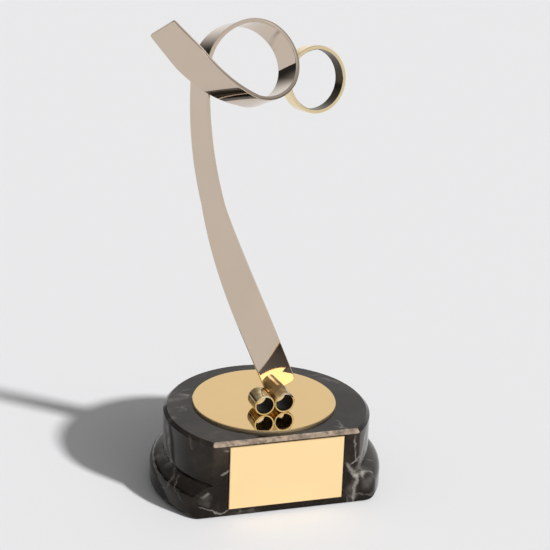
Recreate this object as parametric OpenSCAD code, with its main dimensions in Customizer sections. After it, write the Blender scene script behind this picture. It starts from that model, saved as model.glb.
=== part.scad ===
// Sculpture trophy: a bent nickel strip with a small gold ring stands on two short tubes,
// on a gold disc let onto a black stone base that carries a bare plate.
// Millimetres. Z is up, the plate faces -Y, the origin is on the floor under the base's axis.

/* [Stone base] */
// Height of the base's top above the floor
base_top = 42; // [30:0.5:70]
// Radius of the round wall
wall_r = 53.7; // [40:0.1:80]
// Largest radius of the foot
foot_r = 60.5; // [45:0.1:90]
// Height where the foot's rounded shoulder begins
foot_shoulder_z = 10; // [6:0.5:20]
// Radius of the foot's rounded shoulder
foot_round = 9; // [3:0.5:15]
// Radius of the foot's bottom edge
foot_ease = 2; // [0.5:0.5:5]
// Distance of the front flat from the axis
flat_y = 37.5; // [20:0.5:55]
// Bevel along the top edge
top_bevel = 1.8; // [0.5:0.1:4]
// Radius of the foot's two corners beside the flat
foot_corner = 8; // [2:0.5:15]
// Radius of the wall's two corners beside the flat
wall_corner = 3; // [1:0.5:8]

/* [Felt underlay] */
// Thickness of the felt
felt_t = 1; // [0.5:0.1:3]
// How far the felt stays inside the foot's bottom edge
felt_inset = 3; // [1:0.5:8]

/* [Disc and its fixing] */
// Diameter of the polished disc
disc_d = 75; // [50:1:100]
// Thickness of the disc
disc_t = 1.5; // [0.8:0.1:4]
// Setback of the disc's centre from the base's axis
disc_y = 5; // [0:0.5:15]
// Diameter of the stud brazed under the disc
stud_d = 6; // [4:1:10]
// Radial clearance of the stud in the stone
stud_play = 0.5; // [0.2:0.1:1.5]
// Diameter of the counterbore under the base
pocket_d = 26; // [18:1:36]
// Depth of the counterbore, from the base's underside
pocket_h = 15; // [10:1:25]
// Diameter of the washer
washer_d = 18; // [12:1:24]
// Thickness of the washer
washer_t = 1.6; // [1:0.1:3]
// Width of the nut across its flats
nut_af = 10; // [7:0.5:17]
// Height of the nut
nut_h = 5; // [3:0.5:8]

/* [Plate] */
// Width of the plate
plate_w = 60; // [30:1:80]
// Height of the plate
plate_h = 34.5; // [20:0.5:50]
// Thickness of the plate
plate_t = 1; // [0.5:0.1:2]
// Height of the plate's lower edge above the floor
plate_z = 5; // [2:0.5:12]
// Thickness of the adhesive film behind the plate
film_t = 0.2; // [0.1:0.05:0.5]

/* [Tubes] */
// Outside diameter of each tube
tube_d = 11; // [6:0.5:20]
// Wall of each tube
tube_wall = 1.1; // [0.6:0.1:3]
// Length of the left tube
tube_len = 11.7; // [8:0.1:30]
// Setback of the right tube's front end
tube_set = 0.7; // [0:0.1:4]
// Extra length of the right tube behind, dressed off to the strip's foot
tube_dress = 1.8; // [0:0.1:8]
// Depth of the soldered flat under each tube
tube_seat = 0.15; // [0.05:0.05:0.5]
// Depth of the soldered flats where the tubes meet
tube_meet = 0.05; // [0.05:0.05:0.5]
// Middle of the pair on the disc
tube_pair = [0.1, -7.7]; // [-20:0.1:20]
// Turn of the pair about the vertical
tube_turn = 2; // [-20:1:20]
// Bevel on the tubes' open ends
tube_ease = 0.25; // [0.1:0.05:0.5]

/* [Strip] */
// Width of the strip
strip_w = 17; // [10:0.5:30]
// Thickness of the strip
strip_t = 2; // [1:0.1:4]
// Middle of the strip's lower end
strip_foot = [7.3, -0.4, 52.2]; // [-60:0.1:100]
// Heading of the lower end: turn, tilt and lean
strip_lean = [10, 3.5, -24.6]; // [-60:0.1:60]
// Radius of the lower end's corners
foot_end_r = 3; // [1:0.5:8]
// Radius of the free end's corners
tail_end_r = 1; // [0.5:0.5:8]
// Flat foot against the tubes: length, bend, twist
bend_foot = [6.5, 0, 0]; // [-60:0.5:120]
// Lower stem: length, bend, twist
bend_low = [37, -4, -18]; // [-60:0.5:120]
// Middle stem: length, bend, twist
bend_mid = [69.5, 16, -54]; // [-60:0.5:120]
// Upper stem: length, bend, twist
bend_high = [68.5, 20, -14]; // [-60:0.5:120]
// Loop, upper left: length, bend, twist
bend_rise = [29, 72, -17]; // [-60:0.5:120]
// Loop, crown: length, bend, twist
bend_crown = [17, 53, -17]; // [-60:0.5:120]
// Loop, right: length, bend, twist
bend_right = [34, 93, -23]; // [-60:0.5:120]
// Loop, underside: length, bend, twist
bend_under = [25, 56, -9]; // [-60:0.5:120]
// Tail where it passes the stem: length, bend, twist
bend_pass = [38, 36, 24]; // [-60:0.5:120]
// Tail's free end: length, bend, twist
bend_tail = [18, 1, -13]; // [-60:0.5:120]

/* [Small ring] */
// Outside diameter of the ring
ring_d = 32.6; // [20:0.5:50]
// Wall of the ring
ring_wall = 1.9; // [1:0.1:4]
// Width of the ring's band
ring_band = 6.8; // [3:0.1:15]
// Bevel along the ring's edges
ring_ease = 0.25; // [0.1:0.05:0.5]
// Middle of the ring
ring_at = [12.4, -16.7, 222.1]; // [-60:0.1:300]
// Turn of the ring's axis about the vertical
ring_turn = 14; // [-45:1:45]
// Tilt of the ring's axis
ring_tilt = -10; // [-45:1:45]
// Solder gap between the ring's ends and the strip
ring_gap = 0.15; // [0.05:0.01:0.5]

/* [Hidden] */
$fn = 96;
big = 400;
disc_top = base_top + disc_t;
pocket_top = felt_t + pocket_h;
tube_z = disc_top + tube_d / 2 - tube_seat;
tube_step = tube_d / 2 - tube_meet;
shoulder_x = foot_r - foot_round;
shoulder_end = acos((wall_r - shoulder_x) / foot_round);
wall_low_z = foot_shoulder_z + foot_round * sin(shoulder_end);

// Turns v by the angle a about the unit axis k.
function spin(v, a, k) = v * cos(a) + cross(k, v) * sin(a) + k * (k * v) * (1 - cos(a));

// Turns v by the strip's heading: lean about Y, tilt about X, then turn about Z.
function heading(v) =
  spin(spin(spin(v, strip_lean[2], [0, 1, 0]), strip_lean[1], [1, 0, 0]), strip_lean[0], [0, 0, 1]);

// One step of bar bending: state = [place, along, out, across].
// Bend turns about across and twist about along at the same time, so the bar runs as a screw.
function step(s, d) =
  let (turn = d[1] * s[3] + d[2] * s[1], a = norm(turn))
  a == 0 ? [s[0] + d[0] * s[1], s[1], s[2], s[3]] :
  let (k = turn / a, r = a * PI / 180, side = cross(k, s[1]), lift = k * (k * s[1]))
  let (go = s[1] * sin(a) / r + side * (1 - cos(a)) / r + lift * (1 - sin(a) / r))
  [s[0] + d[0] * go, spin(s[1], a, k), spin(s[2], a, k), spin(s[3], a, k)];

// The bends in order, each with its number of steps.
bends = [
  [[foot_end_r, 0, 0], 8],
  [bend_foot, 2],
  [bend_low, 10],
  [bend_mid, 20],
  [bend_high, 20],
  [bend_rise, 18],
  [bend_crown, 12],
  [bend_right, 24],
  [bend_under, 14],
  [bend_pass, 18],
  [bend_tail, 8],
  [[tail_end_r, 0, 0], 6]];
moves = [for (b = bends) for (i = [1 : b[1]]) b[0] / b[1]];
count = len(moves);
loop_right = [for (i = 0, n = 0; i < 8; n = n + bends[i][1], i = i + 1) n][7];
start_along = heading([0, 0, 1]);
start_out = heading([0, -1, 0]);
start = [strip_foot, start_along, start_out, cross(start_out, start_along)];
states = [for (i = 0, s = start; i <= count; s = i < count ? step(s, moves[i]) : s, i = i + 1) s];
run = [for (i = 0, d = 0; i <= count; d = i < count ? d + moves[i][0] : d, i = i + 1) d];
full_run = run[count];

// Half width of the strip at d along it: rounded corners at both ends.
function corner_cut(d, r) = d >= r ? 0 : r - sqrt(r * r - (r - d) * (r - d));
function half_w(d) = strip_w / 2 - corner_cut(d, foot_end_r) - corner_cut(full_run - d, tail_end_r);

// The four corners of the strip's section at step i.
function section(i) =
  let (s = states[i], a = half_w(run[i]) * s[3], b = strip_t / 2 * s[2])
  [s[0] - a + b, s[0] + a + b, s[0] + a - b, s[0] - a - b];

// Places children in the strip's own frame at step i: X across, Y along, Z out.
module at_step(i) {
  s = states[i];
  multmatrix([
    [s[3][0], s[1][0], s[2][0], s[0][0]],
    [s[3][1], s[1][1], s[2][1], s[0][1]],
    [s[3][2], s[1][2], s[2][2], s[0][2]],
    [0, 0, 0, 1]])
    children();
}

// Everything behind the strip's visible face at its foot, over some width of it.
module behind_foot(wide) {
  at_step(0)
    translate([-wide / 2, -30, strip_t / 2 - 40])
      cube([wide, 60, 40]);
}

// A block behind the plane that touches the strip's outside at step i, for the ring's ends.
module behind_loop(i) {
  at_step(i)
    translate([-12, -6, strip_t / 2 + ring_gap - 7])
      cube([24, 12, 7]);
}

// Stock outside a rounded corner of radius c on a wall of radius r beside the flat.
module corner_stock(r, c, z0, z1) {
  cx = sqrt((r - c) * (r - c) - (flat_y - c) * (flat_y - c));
  aim = atan2(flat_y - c, cx);
  for (side = [-1, 1])
    scale([side, 1, 1])
      difference() {
        translate([cx, -flat_y - 5, z0])
          cube([r * cos(aim) - cx + 12, 5 + c - c * sin(aim), z1 - z0]);
        translate([cx, -flat_y + c, z0 - 1])
          cylinder(r = c, h = z1 - z0 + 2);
      }
}

// Profile of the round stone, from the axis outwards.
function arc(cx, cz, r, a0, a1, n) =
  [for (i = [0 : n]) let (a = a0 + (a1 - a0) * i / n) [cx + r * cos(a), cz + r * sin(a)]];

module stone_profile() {
  polygon(concat(
    [[0, felt_t]],
    arc(foot_r - foot_ease, felt_t + foot_ease, foot_ease, -90, 0, 6),
    arc(shoulder_x, foot_shoulder_z, foot_round, 0, shoulder_end, 14),
    [[wall_r, base_top - top_bevel], [wall_r - top_bevel, base_top], [0, base_top]]));
}

// Polished black stone, turned, cut flat in front, drilled for the disc's stud.
module marble_base() {
  color([0.06, 0.055, 0.055])
    difference() {
      rotate_extrude()
        stone_profile();
      translate([-big / 2, -flat_y - big, -1])
        cube([big, big, base_top + 2]);
      translate([0, -flat_y, base_top])
        rotate([45, 0, 0])
          cube([big, top_bevel * sqrt(2), top_bevel * sqrt(2)], center = true);
      corner_stock(foot_r, foot_corner, -1, wall_low_z - 0.5);
      corner_stock(wall_r, wall_corner, wall_low_z - 0.5, base_top + 1);
      translate([0, disc_y, 0])
        cylinder(d = stud_d + 2 * stud_play, h = base_top + 1);
      translate([0, disc_y, 0])
        cylinder(d = pocket_d, h = pocket_top);
    }
}

// Felt glued under the base, inside its bottom edge.
module base_felt() {
  color([0.05, 0.07, 0.05])
    intersection() {
      cylinder(r = foot_r - foot_ease - felt_inset, h = felt_t);
      translate([-big / 2, -flat_y + felt_inset, -1])
        cube([big, big, felt_t + 2]);
    }
}

// Polished disc on the stone's top.
module top_disc() {
  color([0.9, 0.7, 0.35])
    translate([0, disc_y, base_top])
      rotate_extrude()
        polygon([
          [0, 0], [disc_d / 2, 0], [disc_d / 2, disc_t - 0.3],
          [disc_d / 2 - 0.3, disc_t], [0, disc_t]]);
}

// Stud brazed under the disc, down through the stone.
module disc_stud() {
  color([0.75, 0.62, 0.35])
    translate([0, disc_y, pocket_top - washer_t - nut_h - 3])
      cylinder(d = stud_d, h = base_top - pocket_top + washer_t + nut_h + 3);
}

// Washer under the stone, in the counterbore.
module stud_washer() {
  color([0.7, 0.7, 0.72])
    translate([0, disc_y, pocket_top - washer_t])
      difference() {
        cylinder(d = washer_d, h = washer_t);
        translate([0, 0, -1])
          cylinder(d = stud_d + 0.4, h = washer_t + 2);
      }
}

// Hexagon nut that pulls the disc down.
module stud_nut() {
  color([0.7, 0.7, 0.72])
    translate([0, disc_y, pocket_top - washer_t - nut_h])
      difference() {
        cylinder(d = nut_af / cos(30), h = nut_h, $fn = 6);
        translate([0, 0, -1])
          cylinder(d = stud_d + 0.04, h = nut_h + 2);
      }
}

// Adhesive film between the plate and the flat.
module plate_film() {
  color([0.85, 0.85, 0.8])
    translate([-plate_w / 2 + 1, -flat_y - film_t, plate_z + 1])
      cube([plate_w - 2, film_t, plate_h - 2]);
}

// Bare plate with a small bevel round its front.
module name_plate() {
  color([0.92, 0.78, 0.45])
    translate([0, -flat_y - film_t, plate_z + plate_h / 2])
      rotate([90, 0, 0])
        difference() {
          translate([-plate_w / 2, -plate_h / 2, 0])
            cube([plate_w, plate_h, plate_t]);
          for (a = [0, 180])
            rotate([0, 0, a]) {
              translate([plate_w / 2, 0, plate_t])
                rotate([0, 45, 0])
                  cube([0.35, big, 0.35], center = true);
              translate([0, plate_h / 2, plate_t])
                rotate([45, 0, 0])
                  cube([big, 0.35, 0.35], center = true);
            }
        }
}

// A tube lying along Y on the disc; side is -1 for left and 1 for right, it runs from y0 to y1.
module tube(side, y0, y1) {
  full = y1 - y0;
  translate([tube_pair[0], tube_pair[1], tube_z])
    rotate([0, 0, tube_turn])
      difference() {
        translate([side * tube_step, 0, 0])
          rotate([90, 0, 0])
            rotate_extrude()
              translate([tube_d / 2 - tube_wall, -y1])
                polygon([
                  [0, tube_ease], [tube_ease, 0], [tube_wall - tube_ease, 0], [tube_wall, tube_ease],
                  [tube_wall, full - tube_ease], [tube_wall - tube_ease, full],
                  [tube_ease, full], [0, full - tube_ease]]);
        translate([-big / 2, -big / 2, tube_seat - tube_d / 2 - big])
          cube([big, big, big]);
        translate([side < 0 ? 0 : -big, -big / 2, -big / 2])
          cube([big, big, big]);
      }
}

// Left tube, soldered to the disc and to its neighbour, eased where it meets the strip's corner.
module tube_left() {
  color([0.85, 0.66, 0.3])
    difference() {
      tube(-1, -tube_len / 2, tube_len / 2);
      behind_foot(strip_w + 0.2);
    }
}

// Right tube, its back end dressed to the strip's foot.
module tube_right() {
  color([0.85, 0.66, 0.3])
    difference() {
      tube(1, tube_set - tube_len / 2, tube_len / 2 + tube_dress);
      behind_foot(60);
    }
}

// The strip: stem, loop and tail in one flat bar, bent and twisted by the bends above.
module figure_strip() {
  color([0.8, 0.77, 0.72])
    polyhedron(
      points = [for (i = [0 : count]) each section(i)],
      faces = concat(
        [[0, 1, 2, 3]],
        [for (i = [0 : count - 1]) for (k = [0 : 3])
          let (a = 4 * i + k, b = 4 * i + (k + 1) % 4) each [[a, a + 4, b + 4], [a, b + 4, b]]],
        [[4 * count + 3, 4 * count + 2, 4 * count + 1, 4 * count]]));
}

// The small open ring, its ends dressed to the loop's outside.
module small_ring() {
  color([0.85, 0.66, 0.3])
    difference() {
      translate(ring_at)
        rotate([ring_tilt - 90, 0, ring_turn])
          rotate([0, 0, -140])
            rotate_extrude(angle = 324)
              translate([ring_d / 2 - ring_wall, -ring_band / 2])
                polygon([
                  [0, ring_ease], [ring_ease, 0], [ring_wall - ring_ease, 0], [ring_wall, ring_ease],
                  [ring_wall, ring_band - ring_ease], [ring_wall - ring_ease, ring_band],
                  [ring_ease, ring_band], [0, ring_band - ring_ease]]);
      behind_loop(loop_right + 13);
      behind_loop(loop_right + 21);
    }
}

marble_base();
base_felt();
top_disc();
disc_stud();
stud_washer();
stud_nut();
plate_film();
name_plate();
tube_left();
tube_right();
figure_strip();
small_ring();
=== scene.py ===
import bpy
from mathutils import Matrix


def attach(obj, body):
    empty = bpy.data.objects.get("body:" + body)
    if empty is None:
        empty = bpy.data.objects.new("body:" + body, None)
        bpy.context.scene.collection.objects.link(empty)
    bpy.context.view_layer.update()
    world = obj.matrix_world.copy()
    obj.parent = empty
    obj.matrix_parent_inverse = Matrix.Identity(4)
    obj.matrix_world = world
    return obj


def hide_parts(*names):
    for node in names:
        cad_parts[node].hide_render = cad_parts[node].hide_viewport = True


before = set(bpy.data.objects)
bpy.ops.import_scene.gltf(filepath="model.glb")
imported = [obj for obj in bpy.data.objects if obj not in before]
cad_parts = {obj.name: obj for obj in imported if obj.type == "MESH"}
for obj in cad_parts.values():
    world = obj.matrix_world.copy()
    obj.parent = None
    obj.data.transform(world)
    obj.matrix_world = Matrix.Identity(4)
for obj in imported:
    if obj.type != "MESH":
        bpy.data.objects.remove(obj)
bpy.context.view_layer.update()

import bpy
import numpy as np
from mathutils import Matrix

# Felt underlay: a 1 mm black wool felt, die-cut to a D that stays inside the foot's edge.
# It is glued under the stone, covers the counterbore and keeps the base from scratching a table.
MM = 0.001
FELT_RADIUS = 55.5 * MM
FELT_FRONT = 34.5 * MM
FELT_THICK = 1.0 * MM
FELT_EDGE = 0.35 * MM
FELT_WALK = 180  # points along the round of the D
FELT_EASING = 5  # rings up each eased edge
FELT_INNER = np.array([0.1, 0.4, 0.7, 0.9])  # rings on each flat side, as shares of the outline
FELT_SHADE = (0.010, 0.010, 0.011)
FELT_FIBRE = (0.034, 0.033, 0.036)


class Wire:
    """One output of a shader node. Operators on wires and numbers add Math nodes."""

    def __init__(self, tree, socket=None):
        self.tree = tree
        self.socket = socket

    def node(self, kind, settings=None, sockets=None, out=0):
        """Any other node: its settings are set first, then a value or a wire into each socket."""
        made = self.tree.nodes.new("ShaderNode" + kind)
        for key, value in (settings or {}).items():
            setattr(made, key, value)
        for key, value in (sockets or {}).items():
            if isinstance(value, Wire):
                self.tree.links.new(value.socket, made.inputs[key])
            else:
                made.inputs[key].default_value = value
        return Wire(self.tree, made.outputs[out])

    def math(self, operation, other=0.0):
        """This wire and another wire or number through a Math node."""
        return self.node("Math", {"operation": operation}, {0: self, 1: other})

    def __add__(self, other):
        return self.math("ADD", other)

    def __sub__(self, other):
        return self.math("SUBTRACT", other)

    def __rsub__(self, other):
        return self.node("Math", {"operation": "SUBTRACT"}, {0: other, 1: self})

    def __mul__(self, other):
        return self.math("MULTIPLY", other)

    def __abs__(self):
        return self.math("ABSOLUTE")

    __radd__ = __add__
    __rmul__ = __mul__

    def step(self, low, high, at_low=0.0, at_high=1.0):
        """Goes smoothly from at_low, where this wire is low or less, to at_high, where it is high."""
        return self.node("MapRange", {"interpolation_type": "SMOOTHSTEP"}, {
            "Value": self, "From Min": low, "From Max": high, "To Min": at_low, "To Max": at_high})

    def vector(self, operation, other=(0.0, 0.0, 0.0), out="Vector"):
        """This place or direction and another through a Vector Math node."""
        return self.node("VectorMath", {"operation": operation}, {0: self, 1: other}, out)

    def dot(self, direction):
        """How far this place or direction reaches along another."""
        return self.vector("DOT_PRODUCT", direction, "Value")

    def stretch(self, scale):
        """This place with each axis scaled, so that noise on it is drawn out along the small ones."""
        return self.vector("MULTIPLY", scale)

    def noise(self, scale, detail, seed, rough=0.5):
        """Cloudy noise from 0 to 1 at this place, of about 1 / scale metres a cloud."""
        return self.node("TexNoise", {"noise_dimensions": "4D"}, {
            "Vector": self, "W": seed, "Scale": scale, "Detail": detail, "Roughness": rough})

    def tint(self, at_0, at_1):
        """The colour at_0 where this wire is 0, and at_1 where it is 1."""
        ends = [end if isinstance(end, Wire) else (*end, 1.0) for end in (at_0, at_1)]
        return self.node("Mix", {"data_type": "RGBA"}, {0: self, 6: ends[0], 7: ends[1]}, out=2)

    def bump(self, strength, depth):
        """A shading normal from this wire as a height of up to depth metres."""
        return self.node("Bump", {}, {"Strength": strength, "Distance": depth, "Height": self})


def new_finish(name, **sockets):
    """A material of one Principled shader, with the values that are even all over set on it.

    Returns the material, the shader and the place on the piece, in Object coordinates.
    """
    material = bpy.data.materials.new(name)
    material.use_nodes = True
    tree = material.node_tree
    shader = tree.nodes["Principled BSDF"]
    for key, value in sockets.items():
        shader.inputs[key.replace("_", " ")].default_value = value
    return material, shader, Wire(tree).node("TexCoord", out="Object")


def feed(shader, **wires):
    """Links wires into the shader's sockets."""
    for key, wire in wires.items():
        wire.tree.links.new(wire.socket, shader.inputs[key.replace("_", " ")])


def set_down(name, data):
    """A new object in the scene, at the origin."""
    made = bpy.data.objects.new(name, data)
    bpy.context.scene.collection.objects.link(made)
    return made


def ring_quads(rows, columns):
    """Quads between each closed ring of points and the next."""
    row, column = np.meshgrid(np.arange(rows - 1), np.arange(columns), indexing="ij")
    after = (column + 1) % columns
    corners = [row * columns + column, row * columns + after,
               (row + 1) * columns + after, (row + 1) * columns + column]
    return np.stack(corners, -1).reshape(-1, 4)


def add_piece(name, rings, material, node):
    """A closed piece from rings of points, its first and last ring capped, in place of a CAD node."""
    rows, columns = rings.shape[:2]
    first = np.arange(columns)
    caps = [first[::-1].tolist(), (first + (rows - 1) * columns).tolist()]
    mesh = bpy.data.meshes.new(name)
    mesh.from_pydata(rings.reshape(-1, 3), [], ring_quads(rows, columns).tolist() + caps)
    mesh.polygons.foreach_set("use_smooth", np.ones(len(mesh.polygons), bool))
    mesh.materials.append(material)
    piece = set_down(name, mesh)
    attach(piece, "root")
    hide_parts(node)
    return piece


def felt_outline():
    """A circle about the axis, cut by the line y = -front: an even walk along arc and chord."""
    corner = np.arcsin(FELT_FRONT / FELT_RADIUS)
    arc = np.linspace(-corner, np.pi + corner, FELT_WALK)
    rim = FELT_RADIUS * np.stack([np.cos(arc), np.sin(arc)], -1)
    chord = np.linspace(rim[-1], rim[0], FELT_WALK // 3)[1:-1]
    return np.concatenate([rim, chord])


def felt_rings():
    """The outline, drawn in at the bottom and top by a quarter round, then in to near the axis."""
    turn = np.linspace(0, np.pi / 2, FELT_EASING)
    eased = 1 - FELT_EDGE * (1 - np.sin(turn)) / FELT_FRONT
    rise = FELT_EDGE * (1 - np.cos(turn))
    low = 0 * FELT_INNER
    share = np.concatenate([FELT_INNER, eased, eased[::-1], FELT_INNER[::-1]])
    height = np.concatenate([low, rise, FELT_THICK - rise[::-1], FELT_THICK - low])
    flat = share[:, None, None] * felt_outline()
    level = np.broadcast_to(height[:, None, None], flat.shape[:2] + (1,))
    return np.concatenate([flat, level], -1)


felt, shader, place = new_finish("black_felt", Roughness=0.95, Sheen_Weight=0.3,
                                 Sheen_Roughness=0.6)
fibre = place.noise(2600, detail=4, seed=1) * 0.6 + place.noise(700, detail=3, seed=2) * 0.4
feed(shader,
     Base_Color=fibre.step(0.3, 0.7).tint(FELT_SHADE, FELT_FIBRE),
     Normal=fibre.bump(0.8, 0.4 * MM))
underlay = add_piece("felt_underlay", felt_rings(), felt, "base_felt")

# Stone base: black marble with pale veins and a brown cloud, turned round with a wider rounded foot,
# cut flat in front, bevelled and polished. The bevel along the front carries a pale, mottled painted
# highlight and has a duller polish.
# A hole and a counterbore underneath take the disc's stud.
STONE_BLACK = (0.0045, 0.0036, 0.0030)
STONE_BROWN = (0.036, 0.028, 0.022)
STONE_FLECK = (0.085, 0.075, 0.066)
STONE_GLOSS = (1.0, 0.88, 0.76, 1.0)
VEIN_AND_REFLECTION_CREAM = (0.36, 0.33, 0.30)
VEIN_DRIFT = 11.0 * MM
VEIN_SIDE = (0.03, 0.75)  # full up to the first share of its width, and gone past the second
VEIN_END = (0.75, 1.35)  # the same along it, in shares of its half length
VEIN_MOST = 0.85
CRACK_DRIFT = 20.0 * MM
CRACK_CELLS = 42.0  # along a metre
CRACK_SHARE = 0.30
BEVEL_PAINTED_HIGHLIGHT = (0.33, 0.255, 0.19)
BEVEL_AIM = (0, -1, 1)
BEVEL_REACH = (77.3 * MM, 77.6 * MM)  # along that aim, the bevel starts between these
SEEN_VEINS_AND_REFLECTION = [  # both ends and the way in, width in millimetres, share of cream
    ((-53.4, -3, 41), (-53.3, -8, 19), (1, 0, 0), 4.5, 0.60),
    # The next sheet, wide and pale on the left wall, is a painted reflection, not a vein.
    ((-53.6, 5, 40), (-53.4, 3, 16), (1, 0, 0), 15.0, 0.50),
    ((-53.3, 7, 27), (-52.7, -15, 18), (1, 0, 0), 1.3, 0.35),
    ((-52.7, -15, 18), (-58.4, -16, 9), (0, 1, 0), 1.1, 0.30),
    ((-53.3, -20, 17), (-52.9, -29, 9), (1, 0, 0), 0.9, 0.30),
    ((-47.5, -24, 41), (-46.2, -27, 36), (1, 1, 0), 2.0, 0.25),
    ((-33.5, -37.5, 23), (-29.5, -37.5, 26), (0, 1, 0), 1.3, 0.55),
    ((-46, -37.5, 6.5), (-38, -37.5, 2.2), (0, 1, 0), 0.9, 0.45),
    ((-38, -37.5, 2.2), (-29, -37.5, 4.0), (0, 1, 0), 0.9, 0.45),
    ((-44.5, -37.5, 13), (-39, -37.5, 14.5), (0, 1, 0), 2.2, 0.30),
    ((-42.5, -37.5, 15), (-41.5, -37.5, 7), (0, 1, 0), 8.0, 0.10),
    ((31, -37.5, 25), (37.5, -37.5, 14.5), (0, 1, 0), 2.6, 0.80),
    ((32, -37.5, 23.6), (40.5, -36, 27), (0, 1, 0), 1.1, 0.55),
    ((36.5, -37.5, 38), (38.5, -37.5, 25), (0, 1, 0), 0.9, 0.40),
    ((45.5, -28.6, 37), (38.5, -37, 16), (-1, 1, 0), 5.0, 0.30),
    ((42, -36, 18), (46, -34, 9), (-1, 2, 0), 8.0, 0.13),
    ((36, -37.5, 12), (38.5, -37.5, 3), (0, 1, 0), 6.0, 0.12),
    ((38.3, -37.5, 15), (37.7, -37.5, 2), (0, 1, 0), 1.8, 0.45),
    ((40, -36, 19), (47.5, -34, 16), (0, 0, 1), 1.3, 0.50),
    ((57.4, -10, 16), (54, -27.5, 10.5), (-1, 0, 0), 1.2, 0.25),
    ((-49.5, 15.5, 42), (-35.4, 22.4, 42), (0, 0, 1), 5.0, 0.17),
    ((-43, 23.4, 42), (-34.5, 21.6, 42), (0, 0, 1), 1.6, 0.26),
    ((-39, 27.5, 42), (-32, 28.8, 42), (0, 0, 1), 1.2, 0.22),
    ((30.5, 31.8, 42), (40, 31.2, 42), (0, 0, 1), 0.9, 0.30),
    ((39, 26.5, 42), (46, 20, 42), (0, 0, 1), 1.5, 0.28),
    ((29.2, -24, 42), (28.6, -33, 42), (0, 0, 1), 1.0, 0.32),
    ((28.4, -32, 42), (33, -37, 41), (0, 0, 1), 1.0, 0.32),
    ((10, -36.9, 41), (17, -36.9, 41), (0, 1, -1), 1.6, 0.45),
    ((-34, -37, 40.5), (-27, -37, 40.5), (0, 1, -1), 1.6, 0.35),
]


def dress(nodes, material):
    """Gives CAD nodes a finish in place of their plain one."""
    for name in nodes:
        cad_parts[name].material_slots[0].material = material


def drifted(place, drift, reach):
    """The place moved by the drift, so that straight lines on it wander."""
    return place.node("VectorMath", {"operation": "MULTIPLY_ADD"}, {
        0: drift, 1: (reach, reach, reach), 2: place})


def pale_sheet(place, start, end, inward, width):
    """A pale sheet through the block: it holds both ends, runs inward and thins out past them."""
    start, end = np.array(start) * MM, np.array(end) * MM
    across = np.cross(end - start, inward)
    across /= np.linalg.norm(across)
    middle = (start + end) / 2
    half = np.linalg.norm(end - start) / 2
    off = abs(place.dot(across) - float(across @ middle))
    away = place.vector("DISTANCE", middle, "Value")
    side_near, side_far = np.array(VEIN_SIDE) * width * MM
    end_near, end_far = np.array(VEIN_END) * half
    return off.step(side_near, side_far, 1.0, 0.0) * away.step(end_near, end_far, 1.0, 0.0)


marble, shader, place = new_finish("black_marble", IOR=1.5, Specular_IOR_Level=0.2,
                                   Specular_Tint=STONE_GLOSS)
drift = place.node("TexNoise", {}, {"Vector": place, "Scale": 90.0, "Detail": 4.0}, out="Color")
drift = drift.vector("SUBTRACT", (0.5, 0.5, 0.5))
warped = drifted(place, drift, VEIN_DRIFT)
pale = 0.0
for start, end, inward, width, share in SEEN_VEINS_AND_REFLECTION:
    pale = pale_sheet(warped, start, end, inward, width) * share + pale
cells = place.node("TexVoronoi", {"feature": "DISTANCE_TO_EDGE"}, {
    "Vector": drifted(place, drift, CRACK_DRIFT), "Scale": CRACK_CELLS})
cracks = cells.step(0.0, 0.05, 1.0, 0.0) * place.noise(34, detail=2, seed=12).step(0.48, 0.70)
pale = (pale + cracks * CRACK_SHARE).math("MINIMUM", VEIN_MOST)
pale = pale * place.noise(260, detail=4, seed=17, rough=0.6).step(0.30, 0.62, 0.25, 1.0)
cloud = place.noise(36, detail=5, seed=13, rough=0.62).step(0.42, 0.78)
mottle = place.noise(190, detail=4, seed=14, rough=0.65).step(0.52, 0.80) * cloud
ground = (mottle * 0.6).tint(cloud.tint(STONE_BLACK, STONE_BROWN), STONE_FLECK)
bevel = place.dot(BEVEL_AIM).step(*BEVEL_REACH)
# The pale colour on the front bevel is a painted highlight. Only its higher roughness is a real, duller
# polish.
bevel_highlight = place.noise(420, detail=3, seed=18).step(0.3, 0.7, 0.35, 1.0) * bevel
feed(shader,
     Base_Color=bevel_highlight.tint(pale.tint(ground, VEIN_AND_REFLECTION_CREAM), BEVEL_PAINTED_HIGHLIGHT),
     Roughness=place.noise(90, detail=3, seed=15).step(0.3, 0.75, 0.04, 0.09) + bevel * 0.3,
     Normal=place.noise(160, detail=2, seed=16).bump(0.03, 0.6 * MM))
dress(["marble_base"], marble)

# Stud, washer and nut: a drawn brass stud brazed under the disc, and zinc-plated steel that pulls it
# down from inside the counterbore. They are hidden by the felt.
STUD_DULL = (0.60, 0.42, 0.18)
STUD_BRIGHT = (0.74, 0.54, 0.26)
ZINC_DULL = (0.48, 0.49, 0.52)
ZINC_BRIGHT = (0.66, 0.66, 0.67)
brass_rod, shader, place = new_finish("drawn_brass", Metallic=1.0)
drawn = place.stretch((1.0, 1.0, 0.04)).noise(1800, detail=3, seed=21)
feed(shader,
     Base_Color=drawn.tint(STUD_DULL, STUD_BRIGHT),
     Roughness=drawn.step(0.3, 0.7, 0.25, 0.42),
     Normal=drawn.bump(0.15, 0.1 * MM))
dress(["disc_stud"], brass_rod)
zinc, shader, place = new_finish("zinc_plate", Metallic=1.0)
spangle = place.noise(420, detail=3, seed=22)
feed(shader,
     Base_Color=spangle.tint(ZINC_DULL, ZINC_BRIGHT),
     Roughness=spangle.step(0.3, 0.7, 0.26, 0.45),
     Normal=place.noise(1500, detail=2, seed=23).bump(0.1, 0.1 * MM))
dress(["stud_washer", "stud_nut"], zinc)

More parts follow.
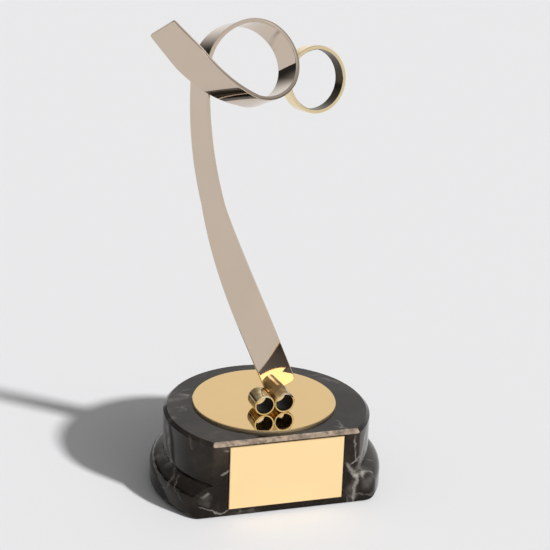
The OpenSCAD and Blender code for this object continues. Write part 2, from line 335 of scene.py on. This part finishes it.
# Disc: a 75 mm brass blank, gold plated and polished to a mirror, which lies on the stone and is
# held by its stud. Buffing leaves faint hairlines on its face, and its edge is paler and satin.
DISC_DEEP = (0.73, 0.505, 0.225)
DISC_LIGHT = (0.77, 0.54, 0.25)
DISC_EDGE = (0.95, 0.76, 0.50)
mirror_gold, shader, place = new_finish("mirror_gold", Metallic=1.0)
haze = place.noise(45, detail=3, seed=31)
hairline = place.stretch((1.0, 0.02, 1.0)).noise(2600, detail=2, seed=32)
upright = place.node("TexCoord", out="Normal").dot((0, 0, 1))
edge = abs(upright).step(0.2, 0.8, 1.0, 0.0)
feed(shader,
     Base_Color=edge.tint(haze.tint(DISC_DEEP, DISC_LIGHT), DISC_EDGE),
     Roughness=haze.step(0.3, 0.7, 0.035, 0.07) + edge * 0.4,
     Normal=hairline.bump(0.02, 0.05 * MM))
dress(["top_disc"], mirror_gold)

# Plate: a bare 60 mm by 34.5 mm gold-coloured brass plate with a fine satin grain from side to side,
# a small bevel and a soft lacquered shine, stuck to the flat with a clear adhesive film.
FILM_DULL = (0.60, 0.58, 0.52)
FILM_LIGHT = (0.74, 0.72, 0.66)
PLATE_DEEP = (0.95, 0.69, 0.36)
PLATE_LIGHT = (0.99, 0.735, 0.40)
film, shader, place = new_finish("adhesive_film", Roughness=0.5)
feed(shader, Base_Color=place.noise(300, detail=3, seed=41).tint(FILM_DULL, FILM_LIGHT))
dress(["plate_film"], film)
satin_gold, shader, place = new_finish("satin_gold", Metallic=0.72)
grain = place.stretch((0.012, 1.0, 1.0)).noise(3000, detail=4, seed=42)
feed(shader,
     Base_Color=place.noise(40, detail=2, seed=43).tint(PLATE_DEEP, PLATE_LIGHT),
     Roughness=grain.step(0.3, 0.7, 0.38, 0.50),
     Normal=grain.bump(0.10, 0.08 * MM))
dress(["name_plate"], satin_gold)

# Tubes: two short lengths of 11 mm brass tube, side by side and open in front, soldered to the disc,
# to each other and to the strip's foot. They are polished outside with some tarnish and bright on the
# cut ends. Their bores are painted near-black, which is painted shade.
TUBE_PAIR = (0.1, -7.7, 0.0)  # millimetres and degrees, here and in the next three sections
TUBE_TURN = 2.0
TUBE_AXIS_X = 5.45
TUBE_AXIS_Z = 48.85
TUBE_BORE = 4.4
BORE_SKIN = (0.05, 0.25)  # past its radius, a bore's dark ends between these
TUBE_TARNISH = (0.30, 0.21, 0.095)
TUBE_BRIGHT = (0.84, 0.66, 0.36)
TUBE_CUT = (1.0, 0.92, 0.66)
TUBE_BORE_SHADE = (0.020, 0.014, 0.009)


def in_bore(radius, bore_shade):
    """1 on a bore's wall and 0 past it, by the distance from its axis."""
    near, far = (np.array(BORE_SKIN) + bore_shade) * MM
    return radius.step(near, far, 1.0, 0.0)


tube_brass, shader, place = new_finish("tube_brass", Metallic=1.0)
cosine, sine = np.cos(np.radians(TUBE_TURN)), np.sin(np.radians(TUBE_TURN))
tube_side, tube_front = (cosine, sine, 0), (sine, -cosine, 0)
sideways = place.dot(tube_side) - float(np.dot(TUBE_PAIR, tube_side) * MM)
aside = abs(sideways) - TUBE_AXIS_X * MM
lift = place.dot((0, 0, 1)) - TUBE_AXIS_Z * MM
# The near-black colour inside the bores is painted shade. The bores are also made rougher.
bore_shade = in_bore((aside * aside + lift * lift).math("SQRT"), TUBE_BORE)
tarnish = place.noise(160, detail=4, seed=51)
turning = place.stretch((0.05, 1.0, 0.05)).noise(2400, detail=2, seed=52)
facing = place.node("TexCoord", out="Normal").dot(tube_front)
polished = tarnish.step(0.38, 0.66).tint(TUBE_TARNISH, TUBE_BRIGHT)
polished = facing.step(0.8, 0.95).tint(polished, TUBE_CUT)
feed(shader,
     Base_Color=bore_shade.tint(polished, TUBE_BORE_SHADE),
     Roughness=tarnish.step(0.3, 0.75, 0.05, 0.13) + bore_shade * 0.5,
     Normal=turning.bump(0.04, 0.05 * MM))
dress(["tube_left", "tube_right"], tube_brass)

# Strip: one 17 mm by 2 mm flat bar, twisted and bent by hand over a former into stem, loop and tail,
# then polished and nickel plated. Its lower end is soldered to the back of the right tube.
STRIP_WIDTH = 17.0
STRIP_THICK = 2.0
STRIP_EASE = 0.3
STRIP_FOOT = (7.3, -0.4, 52.2)
STRIP_LEAN = (10.0, 5.5, -24.6)  # turns of its foot about z, x and y, made from the last
FOOT_CORNER = 3.0
TAIL_CORNER = 1.0
STRIP_BENDS = [  # length, bend and twist of each stretch
    (FOOT_CORNER, 0, 0), (6.5, 0, 0), (37, -1.24, -17.11), (69.5, 14.87, -54.57),
    (68.5, 20.31, -13.42), (29, 72, -17), (17, 53, -17), (34, 93, -23), (25, 56, -9),
    (38, 36, 24), (18, 1, -13), (TAIL_CORNER, 0, 0)]
STRIP_STEP = 0.7  # from ring to ring, about
STRIP_FEWEST = 14  # rings in a stretch, at least
FACE_POINTS = 15  # across each flat face of a ring, and round each edge
EDGE_POINTS = 7
NICKEL_DEEP = (0.61, 0.505, 0.405)
NICKEL_LIGHT = (0.66, 0.55, 0.445)


def spin(vector, angle, axis):
    """The vector turned about a unit axis by each of the angles: its part along the axis stays, and the
    rest becomes the cosine's share of itself plus the sine's share of axis cross vector."""
    angle = np.asarray(angle)[..., None]
    return (vector * np.cos(angle) + np.cross(axis, vector) * np.sin(angle)
            + axis * (axis @ vector) * (1 - np.cos(angle)))


def stretch_run(bend):
    """Distances along a stretch: even, but closer towards the bar's two ends, for their corners."""
    length = bend[0]
    count = max(STRIP_FEWEST, int(length / STRIP_STEP))
    quarter = np.linspace(0, np.pi / 2, count + 1)[1:]
    if bend is STRIP_BENDS[0]:
        return length * (1 - np.cos(quarter))
    if bend is STRIP_BENDS[-1]:
        return length * np.sin(quarter)
    return np.linspace(0, length, count + 1)[1:]


def bar_stretch(state, bend, run):
    """One stretch: bend turns about across while twist turns about along, both evenly, so the bar
    turns about one fixed axis, and its places are its headings summed up, which is a screw."""
    place, along, out, across = state
    length, turn, twist = bend[0], np.radians(bend[1]), np.radians(bend[2])
    rate = (turn * across + twist * along) / length
    pace = np.linalg.norm(rate)
    if pace == 0:
        return [place + run[:, None] * along] + [
            np.repeat(v[None], len(run), 0) for v in (along, out, across)]
    axis = rate / pace
    angle = pace * run
    ahead = np.sin(angle) / pace
    places = (place + along * ahead[:, None]
              + np.cross(axis, along) * ((1 - np.cos(angle)) / pace)[:, None]
              + axis * (axis @ along) * (run - ahead)[:, None])
    return [places] + [spin(v, angle, axis) for v in (along, out, across)]


def strip_path():
    """The whole bar, each stretch from the end of the one before: the run so far, then the places
    and the directions along, out and across."""
    lean = [np.array(v, float) for v in ((0, 0, 1), (0, -1, 0))]
    for angle, axis in zip(np.radians(STRIP_LEAN[::-1]), ((0, 1, 0), (1, 0, 0), (0, 0, 1))):
        lean = [spin(v, angle, np.array(axis, float)) for v in lean]
    state = (np.array(STRIP_FOOT), *lean, np.cross(lean[1], lean[0]))
    lines = [[v[None]] for v in state]
    runs = [np.zeros(1)]
    for bend in STRIP_BENDS:
        run = stretch_run(bend)
        parts = bar_stretch(state, bend, run)
        runs.append(runs[-1][-1] + run)
        for line, part in zip(lines, parts):
            line.append(part)
        state = tuple(part[-1] for part in parts)
    return np.concatenate(runs), [np.concatenate(line) for line in lines]


def corner_cut(gone, radius):
    """How far a rounded corner draws an edge in, at a distance from the end: the corner's radius less
    the height of its quarter circle there."""
    left = np.clip(radius - gone, 0, radius)
    return radius - np.sqrt(radius ** 2 - left ** 2)


def strip_rings(run, lines):
    """Rings of a flat section along the path: the place, plus the section's width along across, plus
    its depth along out. Its edges are eased, and both ends draw in round their corners."""
    place, _, out, across = lines
    face = np.sin(np.linspace(-np.pi / 2, np.pi / 2, FACE_POINTS))
    turn = np.linspace(np.pi / 2, -np.pi / 2, EDGE_POINTS + 2)[1:-1]
    flat, edge = np.ones(FACE_POINTS), np.ones(EDGE_POINTS)
    half = [np.concatenate([face, edge]), np.concatenate([0 * flat, np.cos(turn)]),
            np.concatenate([flat, np.sign(np.sin(turn))]), np.concatenate([flat, np.sin(turn)])]
    wide, wide_ease, deep, deep_ease = [np.concatenate([v, -v])[::-1] for v in half]
    to_end = run[-1] - run
    eased = STRIP_EASE + corner_cut(run, STRIP_EASE) + corner_cut(to_end, STRIP_EASE)
    width = STRIP_WIDTH / 2 - corner_cut(run, FOOT_CORNER) - corner_cut(to_end, TAIL_CORNER)
    core = (width - eased)[:, None] * wide + STRIP_EASE * wide_ease
    depth = (STRIP_THICK / 2 - eased)[:, None] * deep + STRIP_EASE * deep_ease
    points = place[:, None] + core[..., None] * across[:, None] + depth[..., None] * out[:, None]
    return points * MM, core * MM


nickel, shader, place = new_finish("nickel_plate", Metallic=1.0)
run = place.node("UVMap", {"uv_map": "run"})
polish = run.stretch((0.03, 1.0, 1.0)).noise(1500, detail=3, seed=61)
haze = place.noise(28, detail=3, seed=62)
feed(shader,
     Base_Color=haze.tint(NICKEL_DEEP, NICKEL_LIGHT),
     Roughness=(polish * 0.6 + haze * 0.4).step(0.3, 0.7, 0.02, 0.05),
     Normal=polish.bump(0.03, 0.05 * MM))
strip_run, strip_lines = strip_path()
points, crosswise = strip_rings(strip_run, strip_lines)
strip = add_piece("looped_strip", points, nickel, "figure_strip")
loop_vertex = np.zeros(len(strip.data.loops), int)
strip.data.loops.foreach_get("vertex_index", loop_vertex)
lengthwise = np.broadcast_to((strip_run * MM)[:, None], crosswise.shape)
run_map = np.stack([lengthwise.ravel(), crosswise.ravel()], -1)[loop_vertex]
run_layer = strip.data.uv_layers.new(name="run")
run_layer.data.foreach_set("uv", run_map.astype(np.float32).ravel())

# Small ring: a slice of gold-plated brass tube, opened and soldered by its two ends to the loop's
# outside. It is polished, and its bore is painted near-black, which is painted shade.
RING_MIDDLE = (12.4, -16.7, 222.1)
RING_TURN = 14.0
RING_TILT = -10.0
RING_BORE = 14.4
RING_DEEP = (0.86, 0.69, 0.41)
RING_LIGHT = (0.93, 0.775, 0.50)
RING_BORE_SHADE = (0.05, 0.038, 0.022)
ring_gold, shader, place = new_finish("ring_gold", Metallic=1.0)
turn, tilt = np.radians([RING_TURN, RING_TILT])
ring_axis = np.array([-np.sin(turn) * np.cos(tilt), np.cos(turn) * np.cos(tilt), np.sin(tilt)])
from_middle = place.vector("SUBTRACT", np.array(RING_MIDDLE) * MM)
from_axis = from_middle.vector("CROSS_PRODUCT", ring_axis).vector("LENGTH", out="Value")
# The ring's near-black bore is painted shade. The bore is also made rougher.
bore_shade = in_bore(from_axis, RING_BORE)
haze = place.noise(120, detail=3, seed=71)
feed(shader,
     Base_Color=bore_shade.tint(haze.tint(RING_DEEP, RING_LIGHT), RING_BORE_SHADE),
     Roughness=haze.step(0.3, 0.7, 0.06, 0.14) + bore_shade * 0.2,
     Normal=place.noise(900, detail=2, seed=72).bump(0.03, 0.1 * MM))
dress(["small_ring"], ring_gold)

# Studio: a pale floor, a soft white surround and one key light from the front right, which mirrors
# show as a soft panel of the surround. The camera looks down on the front from the left, as the
# photograph does.
VIEW_TURN = -17.5
VIEW_DOWN = 21.6
VIEW_ROLL = 2.16
VIEW_RANGE = 1000.0
VIEW_MIDDLE = (0.0, 0.0, 110.0)
VIEW_RIGHT = 2.0
VIEW_UP = 4.8
VIEW_PIXELS = 1970.0  # focal length, in pixels of the frame
FRAME_PIXELS = 550
SENSOR_WIDTH = 36.0
VIEW_END = 50.0  # metres, as the floor and the key light's place
FLOOR_HALF = 8.0
FLOOR_PALE = (0.80, 0.80, 0.81, 1.0)
KEY_PLACE = (1.157, -1.536, 1.067)
KEY_LEVEL = 4.6
KEY_SPREAD = 4.5
DOME = ((0.0, 0.0, 1.0), 0.06, 0.30, 0.42)  # the way to it, cosines of its edge and core, level
FRONT = ((0.235, -0.875, 0.423), 0.50, 0.85, 0.75)
KEY_PANEL = ((0.50, -0.675, 0.54), 0.966, 0.988, 2.7)
REAR = ((0.50, 0.83, 0.26), 0.55, 0.95, 0.92)
SURROUND_LEAST = 0.03
FILL_SHARE = 0.50  # of the surround, in the light that matt surfaces get from it
SHOWN_TO = ("Is Camera Ray", "Is Glossy Ray", "Is Transmission Ray")

turn, down, roll = np.radians([VIEW_TURN, VIEW_DOWN, VIEW_ROLL])
back = np.array([np.sin(turn) * np.cos(down), -np.cos(turn) * np.cos(down), np.sin(down)])
level = np.array([np.cos(turn), np.sin(turn), 0.0])
rise = np.cross(back, level)
right = np.cos(roll) * level + np.sin(roll) * rise
up = np.cos(roll) * rise - np.sin(roll) * level
eye = np.array(VIEW_MIDDLE) + VIEW_RIGHT * right + VIEW_UP * up + VIEW_RANGE * back
camera = set_down("camera", bpy.data.cameras.new("camera"))
matrix = np.eye(4)
matrix[:3] = np.stack([right, up, back, eye * MM], -1)
camera.matrix_world = Matrix(matrix.tolist())
camera.data.sensor_width = SENSOR_WIDTH
camera.data.lens = VIEW_PIXELS / FRAME_PIXELS * SENSOR_WIDTH
camera.data.clip_end = VIEW_END
bpy.context.scene.camera = camera

floor_mesh = bpy.data.meshes.new("floor")
floor_corners = FLOOR_HALF * np.array([(-1, -1, 0), (1, -1, 0), (1, 1, 0), (-1, 1, 0)])
floor_mesh.from_pydata(floor_corners, [], [(0, 1, 2, 3)])
floor_mesh.materials.append(new_finish("floor_paint", Base_Color=FLOOR_PALE, Roughness=0.9,
                                       Specular_IOR_Level=0.0)[0])
floor = set_down("floor", floor_mesh)

key = set_down("key", bpy.data.lights.new("key", "SUN"))
key.data.energy = KEY_LEVEL
key.data.angle = np.radians(KEY_SPREAD)
key.visible_glossy = False
key.location = KEY_PLACE
key.rotation_euler = key.location.to_track_quat("Z", "Y").to_euler()

world = bpy.data.worlds.new("surround")
bpy.context.scene.world = world
world.use_nodes = True
aim = Wire(world.node_tree).node("TexCoord", out="Generated")


def glow(toward, edge, core, level):
    """A soft round patch of the surround, by the cosine of the angle from one direction."""
    return aim.dot(toward).step(edge, core, 0.0, level)


lit = glow(*FRONT) + glow(*KEY_PANEL) + glow(*REAR)
lit = lit.math("MAXIMUM", glow(*DOME)) + SURROUND_LEAST
shown = 0.0
for ray in SHOWN_TO:
    shown = aim.node("LightPath", out=ray) + shown
shown = shown.math("MINIMUM", 1.0)
surround = lit * shown.step(0.0, 1.0, FILL_SHARE, 1.0)
background = world.node_tree.nodes["Background"]
background.inputs["Color"].default_value = (1.0, 1.0, 1.0, 1.0)
world.node_tree.links.new(surround.socket, background.inputs["Strength"])

bpy.context.scene.view_settings.view_transform = "Standard"
